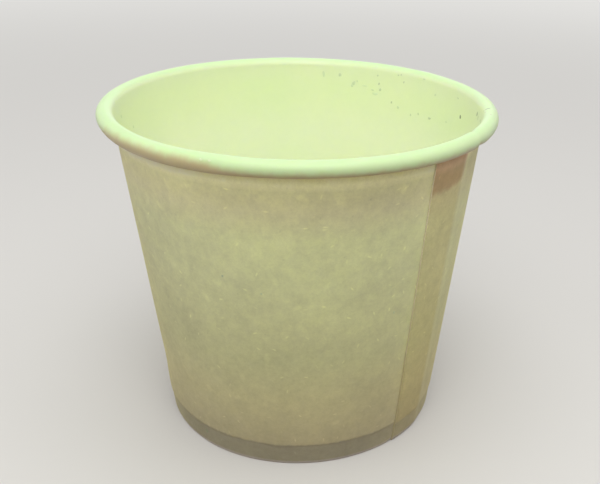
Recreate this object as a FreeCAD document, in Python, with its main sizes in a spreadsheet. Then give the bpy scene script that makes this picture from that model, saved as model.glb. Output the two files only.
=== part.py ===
"""Paper sundae cup, in millimetres.

The cup is made of two pieces of paper. A fan-shaped sheet is wound into a cone, lapped along
one side, rolled outward at the top into a hollow bead and folded in at the foot. A round disc
with its edge turned down is glued into that fold.

The origin is the centre of the foot on the table, and +Z runs up the cup's axis.
"""
import FreeCAD, Part
import math
import os
import Sketcher

# Sizes
# Each one can be changed by itself. Lengths are in millimetres and angles in degrees.

SIZES = [
    ("rim_diameter", 75.0, "outside of the rolled rim"),
    ("cup_height", 64.7, "table to the top of the rim"),
    ("foot_diameter", 55.0, "where the wall's outer face would meet the table"),
    ("bead_diameter", 3.0, "the rolled rim's own section"),
    ("wall_paper", 0.3, "thickness of the side sheet"),
    ("bottom_paper", 0.25, "thickness of the bottom disc"),
    ("curl_gap", 0.25, "from the curl's last edge to the wall"),
    ("band_height", 4.3, "table to the top of the pressed band round the foot"),
    ("band_step", 0.6, "height over which the band steps in"),
    ("band_press", 0.15, "how far the band is pressed in"),
    ("fold_radius", 0.05, "inside of the two corners of the fold at the foot"),
    ("glue_line", 0.05, "between two plies that are glued together"),
    ("disc_height", 5.4, "table to the underside of the bottom disc"),
    ("corner_radius", 0.6, "inside of the disc's turned-down edge"),
    ("hem_clearance", 0.6, "from the hem's top edge up to that corner"),
    ("skirt_clearance", 0.3, "from the skirt's lower edge down to the fold"),
    ("seam_angle", -50.4, "where the lap's open edge lies, from +X"),
    ("lap_angle", 14.5, "how far the two ends of the sheet overlap"),
    ("ramp_angle", 6.0, "over which the outer ply comes back down"),
    ("ramp_end", 0.04, "what is left of the ramp where it runs out"),
    ("lap_foot", 0.4, "table to the lap's lower edge"),
    ("lap_clearance", 0.15, "from the lap's upper edge to the bead"),
]


def make_sheet(doc):
    """Write the sizes into a spreadsheet, one named cell each."""
    sheet = doc.addObject("Spreadsheet::Sheet", "sizes")
    for row, (name, value, note) in enumerate(SIZES, start=1):
        sheet.set("A%d" % row, name)
        sheet.set("B%d" % row, str(value))
        sheet.set("C%d" % row, note)
        sheet.setAlias("B%d" % row, name)
    doc.recompute()
    return sheet


# Sketching
# A rule in a sketch names a curve by number, and one of these on it. The sketch's own axes
# are the curves before the first.

WHOLE, START, END, CENTRE = range(4)
H_AXIS, V_AXIS = -1, -2
ORIGIN = (H_AXIS, START)

# Directions in a sketch, in degrees from the right, anticlockwise
UP, LEFT, DOWN, RIGHT_AGAIN = 90.0, 180.0, 270.0, 360.0


def polar(centre, radius, degrees):
    """The point at this distance and direction from a centre."""
    turn = math.radians(degrees)
    return (centre[0] + radius * math.cos(turn), centre[1] + radius * math.sin(turn))


def vector(point):
    return FreeCAD.Vector(point[0], point[1], 0.0)


class Draft:
    """A sketch on the body's upright plane: across is the radius, up is the height.

    It can be turned about the cup's axis by an expression in degrees.
    """

    def __init__(self, body, name, turn=None):
        self.sketch = body.newObject("Sketcher::SketchObject", name)
        planes = [plane for plane in body.Origin.OriginFeatures if plane.Role == "XZ_Plane"]
        self.sketch.AttachmentSupport = [(planes[0], "")]
        self.sketch.MapMode = "FlatFace"
        if turn:
            about_height = FreeCAD.Rotation(FreeCAD.Vector(0, 1, 0), 1.0)
            self.sketch.AttachmentOffset = FreeCAD.Placement(FreeCAD.Vector(), about_height)
            self.sketch.setExpression("AttachmentOffset.Rotation.Angle", turn)

    def line(self, start, end, guide=False):
        return self.sketch.addGeometry(Part.LineSegment(vector(start), vector(end)), guide)

    def arc(self, centre, radius, first, last):
        """An arc that runs anticlockwise from one direction to another, in degrees."""
        circle = Part.Circle(vector(centre), FreeCAD.Vector(0, 0, 1), radius)
        bounds = (math.radians(first), math.radians(last))
        return self.sketch.addGeometry(Part.ArcOfCircle(circle, *bounds), False)

    def ring(self, centre, radius):
        circle = Part.Circle(vector(centre), FreeCAD.Vector(0, 0, 1), radius)
        return self.sketch.addGeometry(circle, True)

    def rule(self, kind, *what):
        self.sketch.addConstraint(Sketcher.Constraint(kind, *what))

    def chain(self, *steps):
        """Join each line's end to the next line's start."""
        for this, following in zip(steps, steps[1:]):
            self.rule("Coincident", this, END, following, START)

    def size(self, name, kind, what, expression, now):
        """A named dimension that follows the spreadsheet."""
        number = self.sketch.addConstraint(Sketcher.Constraint(kind, *what, now))
        self.sketch.renameConstraint(number, name)
        self.sketch.setExpression("Constraints." + name, expression)

    def revolve(self, body, name, angle):
        turned = body.newObject("PartDesign::Revolution", name)
        turned.Profile = self.sketch
        turned.ReferenceAxis = (self.sketch, ["V_Axis"])
        turned.setExpression("Angle", angle)
        self.sketch.Visibility = False
        return turned


class WallLine:
    """The line that the wall's outer face follows, which every sketch shares.

    It starts where the wall would meet the table and leans out until it touches the bead's
    inner ring, so that the sheet runs into the bead with no corner.
    """

    def __init__(self, draft, v):
        bead_radius = v["bead_diameter"] / 2
        self.core = bead_radius - v["wall_paper"]
        self.bead = (v["rim_diameter"] / 2 - bead_radius, v["cup_height"] - bead_radius)
        self.foot = (v["foot_diameter"] / 2, 0.0)
        out = self.bead[0] - self.foot[0]
        self.lean = math.degrees(
            math.atan2(out, self.bead[1]) - math.asin(self.core / math.hypot(out, self.bead[1])))
        self.top = polar(self.bead, self.core, LEFT - self.lean)

        self.hub = draft.ring(self.bead, self.core)
        draft.size("bead_out", "DistanceX", (*ORIGIN, self.hub, CENTRE),
                   "(sizes.rim_diameter - sizes.bead_diameter) / 2", self.bead[0])
        draft.size("bead_up", "DistanceY", (*ORIGIN, self.hub, CENTRE),
                   "sizes.cup_height - sizes.bead_diameter / 2", self.bead[1])
        draft.size("core", "Radius", (self.hub,),
                   "sizes.bead_diameter / 2 - sizes.wall_paper", self.core)
        self.line = draft.line(self.foot, self.top, guide=True)
        draft.rule("PointOnObject", self.line, START, H_AXIS)
        draft.size("foot_out", "DistanceX", (*ORIGIN, self.line, START),
                   "sizes.foot_diameter / 2", self.foot[0])
        draft.rule("Tangent", self.line, END, self.hub)

    def at(self, height, depth):
        """The point at this height, this far inside the wall's outer face."""
        slope = math.tan(math.radians(self.lean))
        across = depth / math.cos(math.radians(self.lean))
        return (self.foot[0] + height * slope - across, height)


# The side sheet

# Where the curl's last edge is drawn, past straight down, before its gap to the wall sets it
CURL_TURN = -40.0


def draw_sheet_section(body, v):
    """The sheet's edge, from the hem inside the foot, up the wall and round the bead."""
    draft = Draft(body, "sheet_section")
    wall = WallLine(draft, v)
    paper = v["wall_paper"]
    press = v["band_press"]
    band_top = v["band_height"]
    step_top = v["band_height"] + v["band_step"]
    core = v["fold_radius"]
    bend = core + paper
    hem_top = v["disc_height"] - v["corner_radius"] - v["hem_clearance"]
    hem_depth = press + 2 * paper + v["bottom_paper"] + 2 * v["glue_line"]
    heel = wall.at(bend, press + bend)
    toe = wall.at(bend, hem_depth - bend)
    lean = wall.lean
    curl_end = DOWN + CURL_TURN - RIGHT_AGAIN
    bead_radius = v["bead_diameter"] / 2

    # Face that is outside on the wall
    hem_in = draft.line(wall.at(hem_top, hem_depth), polar(toe, bend, LEFT - lean))
    toe_out = draft.arc(toe, bend, LEFT - lean, DOWN)
    land_out = draft.line((toe[0], 0.0), (heel[0], 0.0))
    heel_out = draft.arc(heel, bend, DOWN, RIGHT_AGAIN - lean)
    band_out = draft.line(polar(heel, bend, -lean), wall.at(band_top, press))
    step_out = draft.line(wall.at(band_top, press), wall.at(step_top, 0.0))
    wall_out = draft.line(wall.at(step_top, 0.0), wall.top)
    curl_in = draft.arc(wall.bead, wall.core, curl_end, LEFT - lean)
    # Face that is inside on the wall
    curl_out = draft.arc(wall.bead, bead_radius, curl_end, LEFT - lean)
    wall_in = draft.line(polar(wall.bead, bead_radius, LEFT - lean), wall.at(step_top, paper))
    step_in = draft.line(wall.at(step_top, paper), wall.at(band_top, press + paper))
    band_in = draft.line(wall.at(band_top, press + paper), polar(heel, core, -lean))
    heel_in = draft.arc(heel, core, DOWN, RIGHT_AGAIN - lean)
    land_in = draft.line((toe[0], paper), (heel[0], paper))
    toe_in = draft.arc(toe, core, LEFT - lean, DOWN)
    hem_out = draft.line(polar(toe, core, LEFT - lean), wall.at(hem_top, hem_depth - paper))
    # Cut edges of the sheet
    hem_edge = draft.line(wall.at(hem_top, hem_depth - paper), wall.at(hem_top, hem_depth))
    curl_edge = draft.line(polar(wall.bead, wall.core, curl_end),
                           polar(wall.bead, bead_radius, curl_end))

    # How the faces join
    draft.rule("Tangent", hem_in, END, toe_out, START)
    draft.rule("Tangent", toe_out, END, land_out, START)
    draft.rule("Tangent", land_out, END, heel_out, START)
    draft.rule("Tangent", heel_out, END, band_out, START)
    draft.chain(band_out, step_out, wall_out)
    draft.rule("Coincident", wall_out, END, wall.line, END)
    draft.rule("Coincident", curl_in, END, wall.line, END)
    draft.rule("Coincident", curl_in, START, curl_edge, START)
    draft.rule("Coincident", curl_edge, END, curl_out, START)
    draft.rule("Tangent", curl_out, END, wall_in, START)
    draft.chain(wall_in, step_in, band_in)
    draft.rule("Tangent", band_in, END, heel_in, END)
    draft.rule("Tangent", heel_in, START, land_in, END)
    draft.rule("Tangent", land_in, START, toe_in, END)
    draft.rule("Tangent", toe_in, START, hem_out, START)
    draft.chain(hem_out, hem_edge, hem_in)

    # How they run
    draft.rule("PointOnObject", wall_out, START, wall.line)
    for face in (wall_in, band_out, band_in, hem_in, hem_out):
        draft.rule("Parallel", face, wall.line)
    draft.rule("Parallel", step_in, step_out)
    draft.rule("Perpendicular", hem_edge, hem_in)
    draft.rule("Coincident", curl_in, CENTRE, wall.hub, CENTRE)
    draft.rule("Coincident", curl_out, CENTRE, wall.hub, CENTRE)
    draft.rule("Coincident", heel_in, CENTRE, heel_out, CENTRE)
    draft.rule("Coincident", toe_in, CENTRE, toe_out, CENTRE)
    draft.rule("PointOnObject", wall.hub, CENTRE, curl_edge)
    draft.rule("PointOnObject", land_out, START, H_AXIS)
    draft.rule("Horizontal", land_out)

    # How large they are
    draft.size("bead", "Radius", (curl_out,), "sizes.bead_diameter / 2", bead_radius)
    draft.size("curl", "Distance", (curl_edge, END, wall.line), "sizes.curl_gap", v["curl_gap"])
    draft.size("press", "Distance", (band_out, END, wall.line), "sizes.band_press", press)
    draft.size("band_up", "DistanceY", (*ORIGIN, step_out, START), "sizes.band_height", band_top)
    draft.size("step_up", "DistanceY", (step_out, START, step_out, END),
               "sizes.band_step", v["band_step"])
    draft.size("step_paper", "Distance", (step_in, END, step_out), "sizes.wall_paper", paper)
    for name, outer, inner in (("heel", heel_out, heel_in), ("toe", toe_out, toe_in)):
        draft.size(name, "Radius", (outer,), "sizes.fold_radius + sizes.wall_paper", bend)
        draft.size(name + "_core", "Radius", (inner,), "sizes.fold_radius", core)
    draft.size("hem_inset", "Distance", (hem_in, START, wall.line),
               "sizes.band_press + 2 * sizes.wall_paper + sizes.bottom_paper"
               " + 2 * sizes.glue_line", hem_depth)
    draft.size("hem_up", "DistanceY", (*ORIGIN, hem_in, START),
               "sizes.disc_height - sizes.corner_radius - sizes.hem_clearance", hem_top)
    return draft


def draw_lap_section(body, v, name, turn, thickness, thickness_now):
    """A second ply against the wall's outer face, from just off the table to below the bead.

    Its inner side runs down the middle of the wall's paper, so that the two become one solid.
    """
    draft = Draft(body, name, turn)
    wall = WallLine(draft, v)
    press = v["band_press"]
    buried = v["wall_paper"] / 2
    foot = v["lap_foot"]
    band_top = v["band_height"]
    step_top = v["band_height"] + v["band_step"]
    top = v["cup_height"] - v["bead_diameter"] - v["lap_clearance"]

    outer = [(foot, press), (band_top, press), (step_top, 0.0), (top, 0.0)]
    faces = []
    for depth in (-thickness_now, buried):
        points = [wall.at(height, inset + depth) for height, inset in outer]
        faces.append([draft.line(points[i], points[i + 1]) for i in range(3)])
    (band_out, step_out, wall_out), (band_in, step_in, wall_in) = faces
    top_edge = draft.line(wall.at(top, -thickness_now), wall.at(top, buried))
    foot_edge = draft.line(wall.at(foot, press - thickness_now), wall.at(foot, press + buried))

    draft.chain(band_out, step_out, wall_out, top_edge)
    draft.chain(band_in, step_in, wall_in)
    draft.rule("Coincident", top_edge, END, wall_in, END)
    draft.rule("Coincident", foot_edge, START, band_out, START)
    draft.rule("Coincident", foot_edge, END, band_in, START)
    for face in (band_out, wall_out, band_in, wall_in):
        draft.rule("Parallel", face, wall.line)
    draft.rule("Horizontal", top_edge)
    draft.rule("Horizontal", foot_edge)
    draft.size("foot_up", "DistanceY", (*ORIGIN, foot_edge, START), "sizes.lap_foot", foot)
    draft.size("top_up", "DistanceY", (*ORIGIN, top_edge, START),
               "sizes.cup_height - sizes.bead_diameter - sizes.lap_clearance", top)
    for side, step in (("out", step_out), ("in", step_in)):
        draft.size("band_up_" + side, "DistanceY", (*ORIGIN, step, START),
                   "sizes.band_height", band_top)
        draft.size("step_up_" + side, "DistanceY", (step, START, step, END),
                   "sizes.band_step", v["band_step"])
    draft.size("proud", "Distance", (wall_out, END, wall.line), thickness, thickness_now)
    draft.size("proud_band", "Distance", (band_out, START, wall.line),
               "abs(%s - sizes.band_press)" % thickness, abs(thickness_now - press))
    draft.size("buried", "Distance", (wall_in, END, wall.line), "sizes.wall_paper / 2", buried)
    draft.size("buried_band", "Distance", (band_in, START, wall.line),
               "sizes.wall_paper / 2 + sizes.band_press", buried + press)
    return draft


def build_sidewall(doc, v):
    """The wound sheet. Its lap starts at the sketch plane, and the placement turns it."""
    body = doc.addObject("PartDesign::Body", "sidewall")
    body.Label = "sidewall"
    draw_sheet_section(body, v).revolve(body, "wound_sheet", "360")

    strip = draw_lap_section(body, v, "lap_section", None, "sizes.wall_paper", v["wall_paper"])
    strip.revolve(body, "lap", "sizes.lap_angle")

    high = draw_lap_section(body, v, "ramp_high", "sizes.lap_angle",
                            "sizes.wall_paper", v["wall_paper"])
    low = draw_lap_section(body, v, "ramp_low", "sizes.lap_angle + sizes.ramp_angle",
                           "sizes.ramp_end", v["ramp_end"])
    ramp = body.newObject("PartDesign::AdditiveLoft", "ramp")
    ramp.Profile = high.sketch
    ramp.Sections = [low.sketch]
    ramp.Ruled = True
    about_axis = FreeCAD.Rotation(FreeCAD.Vector(0, 0, 1), 1.0)
    body.Placement = FreeCAD.Placement(FreeCAD.Vector(), about_axis)
    body.setExpression("Placement.Rotation.Angle", "sizes.seam_angle")
    return body


# The bottom disc


def draw_disc_section(body, v):
    """The disc's edge: flat across the cup, then turned down between the wall and the hem."""
    draft = Draft(body, "disc_section")
    wall = WallLine(draft, v)
    paper = v["bottom_paper"]
    corner = v["corner_radius"]
    depth = v["band_press"] + v["wall_paper"] + v["glue_line"]
    height = v["disc_height"]
    lean = wall.lean
    foot = v["wall_paper"] + v["skirt_clearance"]
    turn_now = (wall.at(height - corner, depth + paper + corner)[0], height - corner)
    outer = corner + paper

    under = draft.line((0.0, height), (turn_now[0], height))
    corner_in = draft.arc(turn_now, corner, -lean, UP)
    skirt_in = draft.line(polar(turn_now, corner, -lean), wall.at(foot, depth + paper))
    skirt_edge = draft.line(wall.at(foot, depth + paper), wall.at(foot, depth))
    skirt_out = draft.line(wall.at(foot, depth), polar(turn_now, outer, -lean))
    corner_out = draft.arc(turn_now, outer, -lean, UP)
    upper = draft.line((turn_now[0], height + paper), (0.0, height + paper))
    middle = draft.line((0.0, height + paper), (0.0, height))

    draft.rule("Tangent", under, END, corner_in, END)
    draft.rule("Tangent", corner_in, START, skirt_in, START)
    draft.chain(skirt_in, skirt_edge, skirt_out)
    draft.rule("Tangent", skirt_out, END, corner_out, START)
    draft.rule("Tangent", corner_out, END, upper, START)
    draft.chain(upper, middle, under)
    draft.rule("Coincident", corner_out, CENTRE, corner_in, CENTRE)
    draft.rule("Parallel", skirt_out, wall.line)
    draft.rule("Parallel", skirt_in, wall.line)
    draft.rule("Perpendicular", skirt_edge, skirt_out)
    draft.rule("Horizontal", under)
    draft.rule("Horizontal", upper)
    draft.rule("PointOnObject", middle, START, V_AXIS)
    draft.rule("PointOnObject", middle, END, V_AXIS)
    draft.size("height", "DistanceY", (*ORIGIN, middle, END), "sizes.disc_height", height)
    draft.size("corner", "Radius", (corner_in,), "sizes.corner_radius", corner)
    draft.size("corner_skin", "Radius", (corner_out,),
               "sizes.corner_radius + sizes.bottom_paper", outer)
    draft.size("inset", "Distance", (skirt_out, START, wall.line),
               "sizes.band_press + sizes.wall_paper + sizes.glue_line", depth)
    draft.size("skirt_up", "DistanceY", (*ORIGIN, skirt_out, START),
               "sizes.wall_paper + sizes.skirt_clearance", foot)
    return draft


def build_bottom_disc(doc, v):
    body = doc.addObject("PartDesign::Body", "bottom_disc")
    body.Label = "bottom_disc"
    draw_disc_section(body, v).revolve(body, "pressed_disc", "360")
    body.Placement = FreeCAD.Placement(FreeCAD.Vector(), FreeCAD.Rotation())
    return body


# Checking and writing


def check(doc, bodies):
    """Stop if anything in the document failed, or if a piece isn't one sound solid."""
    for item in doc.Objects:
        if "Invalid" in item.State or "Error" in item.State:
            raise RuntimeError("%s failed: %s" % (item.Name, item.State))
        if item.isDerivedFrom("Sketcher::SketchObject") and item.solve() != 0:
            raise RuntimeError("%s can't be solved" % item.Name)
    for body in bodies:
        shape = body.Shape
        if shape.isNull() or not shape.isValid() or len(shape.Solids) != 1:
            raise RuntimeError("%s isn't one valid solid" % body.Label)


doc = FreeCAD.newDocument("paper_cup")
sizes = make_sheet(doc)
values = {name: float(sizes.get(name)) for name, _, _ in SIZES}
pieces = [build_sidewall(doc, values), build_bottom_disc(doc, values)]
doc.recompute()
check(doc, pieces)

os.makedirs("parts", exist_ok=True)
for piece in pieces:
    box = piece.Shape.BoundBox
    print("%s: %.1f mm3, x %.2f to %.2f, y %.2f to %.2f, z %.2f to %.2f" % (
        piece.Label, piece.Shape.Volume, box.XMin, box.XMax, box.YMin, box.YMax,
        box.ZMin, box.ZMax))
    piece.Shape.exportStep("parts/%s.step" % piece.Label)
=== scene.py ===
"""Looks of a paper sundae cup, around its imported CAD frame.

The cup stands on the floor at the origin. A place on it is a turn and a height: turns are in
degrees from the front (-Y) towards the right (+X), heights in millimetres from the floor. The
side is one sheet of cup stock, wound a little more than once round, with its outside bare and
its cup side coated. Shapes are worked out in millimetres and put into the meshes in metres.
"""

import bpy
import numpy as np
from mathutils import Matrix, Vector


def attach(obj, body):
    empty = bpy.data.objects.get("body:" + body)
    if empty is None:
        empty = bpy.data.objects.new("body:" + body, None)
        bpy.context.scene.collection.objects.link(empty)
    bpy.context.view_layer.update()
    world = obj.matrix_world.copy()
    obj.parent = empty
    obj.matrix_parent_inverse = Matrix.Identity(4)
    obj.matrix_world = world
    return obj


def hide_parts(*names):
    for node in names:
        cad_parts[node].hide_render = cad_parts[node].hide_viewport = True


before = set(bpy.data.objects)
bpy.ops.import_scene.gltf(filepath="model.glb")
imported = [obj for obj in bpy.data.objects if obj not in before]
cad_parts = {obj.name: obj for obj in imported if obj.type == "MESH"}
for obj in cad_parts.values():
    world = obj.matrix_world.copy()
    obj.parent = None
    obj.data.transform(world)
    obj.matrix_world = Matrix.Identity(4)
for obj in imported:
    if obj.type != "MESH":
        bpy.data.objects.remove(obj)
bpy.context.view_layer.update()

MM = 0.001

# ---------------------------------------------------------------------------
# Sizes, in millimetres and degrees, as the CAD part has them

LEAN = np.radians(6.582)
SLOPE = np.tan(LEAN)
WALL_AT_FLOOR = 27.5
PAPER = 0.3
BAND_TOP = 4.3
BAND_STEP = 0.6
BAND_PRESS = 0.15
HEM_TOP = 4.2
TOE, HEEL, BEND_UP = 26.785, 27.037, 0.35
BEND = 0.2
BEAD_OUT, BEAD_UP = 36.0, 63.28
SEAM, LAP, RAMP = 39.6, 14.5, 6.0

DISC_TOP, DISC_PAPER, DISC_CORNER = 5.65, 0.25, 0.85
SKIRT_FOOT, GLUE_GAP = 0.6, 0.05

# Not in the CAD part: the bead's section, flatter than a circle, the heading in degrees at which
# its curl stops on the lap and off it, and by how much that varies
BEAD_WIDE, BEAD_TALL = 1.35, 1.27
CURL_STOP, CURL_STOP_SINGLE, CURL_UNEVEN = -132, -147, 1.5
# The outer ply stands a paper's thickness and a film of glue over the inner one, and two_ply
# starts to rise this many degrees before the seam
PLY_STEP = PAPER + 0.01
PLY_RISE = 4

# Uneven places: the turn of the middle, the reach in degrees either side, and how far
BULGE = -96, 46, 0.62
SAG = -42, 50, 0.33
RISE = 60, 30, 0.2
DIPS = (-35, 7, 0.10), (-23, 6, 0.13)
CREASE = 82.0, 0.9, 0.12
BAND_CREASE = 16.3, 0.8, 0.1
EVEN_SAG = 0.06
LAP_FLARE = 0.15
# The heights between which the bulge fades out, and the wall's waves: how deep, and how tall the
# upper ones are
BULGE_FADES = 4.5, 14
SLOW_DEPTH, UPPER_DEPTH, UPPER_TALL = 0.07, 0.05, 64

# Rows of the sheet's section, and the one that ties distances along the paper to heights
HEM_ROWS, BEND_ROWS, BAND_ROWS, STEP_ROWS, WALL_ROWS, BEAD_ROWS = 4, 7, 5, 6, 25, 40
TIE_ROW = 30
TIE_TURN = 200.0

# Columns of the sheet: from each turn to the next, this many with both ends counted. They stand
# closest at the lap, the bead's crease and the band's crease.
COLUMNS = [(SEAM, 20), (SEAM + LAP, 12), (SEAM + LAP + RAMP, 22), (CREASE[0] - 2, 13),
           (CREASE[0] + 2, 272), (354, 24), (375, 9), (377.6, 42), (360 + SEAM + LAP, 1)]
MID_RADIUS = 33.0
SHARP = np.radians(40)
OUTSIDE, CUP_SIDE, CUT_EDGE = 0, 1, 2


def ease(value, low, high):
    """0 up to low, 1 from high, and between them 3t^2 - 2t^3 of the share t of the way."""
    share = np.clip((value - low) / (high - low), 0, 1)
    return share * share * (3 - 2 * share)


def bump(value, middle, reach):
    """1 at the middle, falling off to 0 at the reach either side with a cosine's shape."""
    return 0.5 + 0.5 * np.cos(np.pi * np.clip((value - middle) / reach, -1, 1))


def waves(turn, counts, starts):
    """The mean of sines that go round the cup a whole number of times, each from its own start."""
    return sum(np.sin(np.radians(turn * n + s)) for n, s in zip(counts, starts)) / len(counts)


def around(turn, place):
    """An uneven place's depth at each turn. The turns may run past a full winding."""
    middle, reach, depth = place
    return depth * bump(np.mod(turn + 180, 360) - 180, middle, reach)


# ---------------------------------------------------------------------------
# The side sheet


def two_ply(turn):
    """How far the sheet lies double: 1 on the lap, easing to 0 over a few degrees outside it."""
    turn = np.mod(turn, 360)
    return ease(turn, SEAM - PLY_RISE, SEAM) * (1 - ease(turn, SEAM + LAP, SEAM + LAP + RAMP))


def foot_flare(turn, height):
    """How far the foot is pushed outwards: most at the left, over the lowest centimetre."""
    return around(turn, BULGE) * (1 - ease(height, *BULGE_FADES))


def wall_dents(turn, height):
    """Shallow unevenness of the wall: slow waves round the cup that change with height."""
    slow = waves(turn, (3, 5, 7), (20, 130, 250)) * SLOW_DEPTH
    upper = waves(turn, (4, 9), (80, 10)) * UPPER_DEPTH
    upper = upper * np.sin(height / UPPER_TALL * 2 * np.pi)
    return (slow + upper) * ease(height, 5, 20) * (1 - ease(height, 50, 60))


def lap_flare(turn, height):
    """The outer ply bends out towards the bead at the seam: a rise from 55 mm up to the bead."""
    across = ease(turn, SEAM - 1, SEAM + 1) * (1 - ease(turn, SEAM + 12, SEAM + 20))
    return LAP_FLARE * across * ease(height, 55, 61.5)


def bead_dents(turn, heading):
    """How far the bead is pressed in: slow waves round the rim, two shallow dips at the front
    left, and the short crease across its top at the right."""
    low = bump(heading, np.radians(10), np.radians(60))
    dips = sum(around(turn, dip) for dip in DIPS) * low
    crease = around(turn, CREASE) * bump(heading, np.radians(102), np.radians(30))
    return 0.03 * waves(turn, (7, 12, 19), (40, 200, 310)) + dips + crease


def wall_section(turn):
    """The middle of the paper from the hem's top to just under the bead: down the hem, round the
    toe, along the flat land, round the heel, up the pressed band, out over the step and up the
    wall. Straight stretches keep the wall's lean, and a bend's points stand at its radius."""
    half = PAPER / 2
    hem_face = TOE - (BEND + half) * np.cos(LEAN), BEND_UP + (BEND + half) * np.sin(LEAN)
    hem_up = np.linspace(HEM_TOP, hem_face[1] + 0.2, HEM_ROWS)
    hem_out = hem_face[0] + half / np.cos(LEAN) + (hem_up - hem_face[1]) * SLOPE
    toe = np.radians(np.linspace(180 - np.degrees(LEAN), 270, BEND_ROWS))
    heel = np.radians(np.linspace(270, 360 - np.degrees(LEAN), BEND_ROWS))
    step_up = np.linspace(BAND_TOP, BAND_TOP + BAND_STEP, STEP_ROWS)
    wall_up = np.concatenate([np.linspace(0.7, 3.8, BAND_ROWS), step_up,
                              np.linspace(5.6, 60.5, WALL_ROWS), [61.5, 62.4, 63.0]])
    wall_out = WALL_AT_FLOOR + wall_up * SLOPE - half / np.cos(LEAN)
    radius = np.concatenate([hem_out, TOE + BEND * np.cos(toe), HEEL + BEND * np.cos(heel),
                             wall_out])[:, None]
    height = np.concatenate([hem_up, BEND_UP + BEND * np.sin(toe),
                             BEND_UP + BEND * np.sin(heel), wall_up])[:, None]
    outside = np.arange(len(radius))[:, None] >= HEM_ROWS + 2 * BEND_ROWS
    edge = 0.25 * waves(turn, (11, 17, 29), (0, 70, 200))
    pressed = BAND_PRESS * (1 - ease(height - edge, BAND_TOP, BAND_TOP + BAND_STEP))
    crease_turn, crease_reach, crease_depth = BAND_CREASE
    crease = crease_depth * bump(turn, 360 + crease_turn, crease_reach)
    pressed = pressed + crease * bump(height, 2.4, 2.6)
    radius = radius - np.where(outside, pressed, 0)
    radius = radius + wall_dents(turn, height) + lap_flare(turn, height) + foot_flare(turn, height)
    lift = PLY_STEP * two_ply(turn) * (1 - ease(height, 0.4, 2.4))
    return radius, height + lift


def bead_section(turn):
    """The middle of the paper round the bead: a flattened circle from the wall's top over, out
    and down, its underside hanging by the sag and its top raised by the rise."""
    single = 1 - two_ply(turn)
    first = 180 - np.degrees(LEAN)
    last = CURL_STOP + (CURL_STOP_SINGLE - CURL_STOP) * single
    last = last + CURL_UNEVEN * waves(turn, (23, 41, 67), (0, 40, 90)) * single
    share = np.linspace(0, 1, BEAD_ROWS)[:, None]
    heading = np.radians(first + (last - first) * share)
    under = np.clip(-np.sin(heading), 0, 1) ** 2
    over = np.clip(np.sin(heading), 0, 1)
    pressed = bead_dents(turn, heading)
    radius = BEAD_OUT + (BEAD_WIDE - pressed) * np.cos(heading)
    height = BEAD_UP + (BEAD_TALL - pressed) * np.sin(heading)
    height = height - (EVEN_SAG + around(turn, SAG)) * under + around(turn, RISE) * over
    return radius, height


def sheet_middle(turn):
    """The middle of the paper, as radius and height, one column for each turn."""
    wall, bead = wall_section(turn), bead_section(turn)
    return np.vstack([wall[0], bead[0]]), np.vstack([wall[1], bead[1]])


def shell_faces(rows, columns):
    """Four-sided faces of a closed strip of paper: rings of rows, open along the columns, and
    the two ends shut across the paper's thickness."""
    ring = np.arange(rows)
    a = (ring[:, None] * columns + np.arange(columns - 1)[None, :]).ravel()
    b = (((ring + 1) % rows)[:, None] * columns + np.arange(columns - 1)[None, :]).ravel()
    skin = np.stack([a, a + 1, b + 1, b], 1)
    k = np.arange(rows // 2 - 1)
    start = np.stack([k, k + 1, rows - 2 - k, rows - 1 - k], 1) * columns
    end = start[:, ::-1] + columns - 1
    return skin, np.vstack([start, end])


def closed_rings(rings, columns):
    """Faces of a skin made of closed rings, with a single point before the first ring and one
    after the last: the two points come first and last among the points."""
    here = np.arange(columns)
    after = (here + 1) % columns
    start = 1 + np.arange(rings - 1)[:, None] * columns
    quads = np.stack([start + here, start + after, start + columns + after,
                      start + columns + here], 2).reshape(-1, 4)
    last = 1 + (rings - 1) * columns
    near = np.stack([np.zeros(columns, int), 1 + after, 1 + here], 1)
    far = np.stack([np.full(columns, last + columns), last + here, last + after], 1)
    return quads, np.vstack([near, far])


def put_mesh(name, points, faces, materials, finish=None, **values):
    """Puts points in millimetres and a list of face arrays into a new object, facing outwards:
    the faces are turned round if the volume that they enclose comes out negative."""
    volume = 0.0
    for group in faces:
        corners = points[group]
        for k in range(2, group.shape[1]):
            cross = np.cross(corners[:, k - 1], corners[:, k])
            volume += np.einsum("ij,ij->", corners[:, 0], cross)
    if volume < 0:
        faces = [group[:, ::-1] for group in faces]
    mesh = bpy.data.meshes.new(name)
    mesh.from_pydata((points * MM).tolist(), [], sum([group.tolist() for group in faces], []))
    for material in materials:
        mesh.materials.append(material)
    if finish is not None:
        mesh.polygons.foreach_set("material_index", finish.astype(np.int32))
    for title, value in values.items():
        layer = mesh.attributes.new(title, "FLOAT_VECTOR", "POINT")
        layer.data.foreach_set("vector", value.astype(np.float32).ravel())
    mesh.shade_smooth()
    mesh.set_sharp_from_angle(angle=SHARP)
    mesh.update()
    piece = bpy.data.objects.new(name, mesh)
    bpy.context.scene.collection.objects.link(piece)
    return piece


def rows_up():
    """How far along the paper each row of the section lies, in millimetres. On the wall that is
    about its height above the floor, and on the bead it counts on from there."""
    radius, height = sheet_middle(np.array([[TIE_TURN]]))
    steps = np.hypot(np.diff(radius[:, 0]), np.diff(height[:, 0]))
    along = np.concatenate([[0], np.cumsum(steps)])
    return along - along[TIE_ROW] + height[TIE_ROW, 0]


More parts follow.
